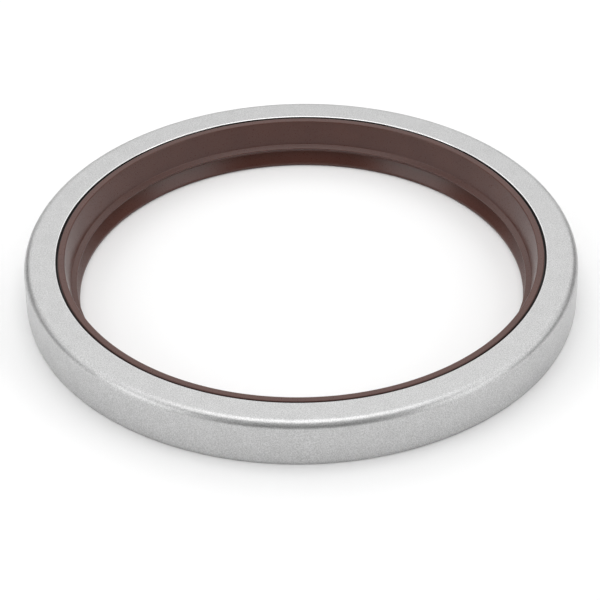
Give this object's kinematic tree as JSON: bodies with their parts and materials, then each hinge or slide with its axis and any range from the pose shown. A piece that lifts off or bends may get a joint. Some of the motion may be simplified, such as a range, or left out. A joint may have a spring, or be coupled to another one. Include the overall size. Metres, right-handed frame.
{
  "type": "radial shaft oil seal",
  "caption": "Large metal-cased rotary shaft seal: pressed ring case, bonded brown rubber with a dust lip and a spring-loaded main lip.",
  "frame": {"origin": "centre of the open rim's plane, on the seal's axis, where the seal rests", "axes": "+Z along the seal's axis, from the oil side at the open rim to the air side at the flange"},
  "size_m": [0.17, 0.17, 0.015],
  "materials": {
    "case_metal": "satin grey, fine mottled grain",
    "seal_rubber": "dark red-brown moulded, soft sheen",
    "spring_steel": "bright drawn wire"
  },
  "bodies": {
    "root": {"metal_case": "case_metal", "rubber_seal": "seal_rubber", "garter_spring": "spring_steel"}
  },
  "joints": []
}
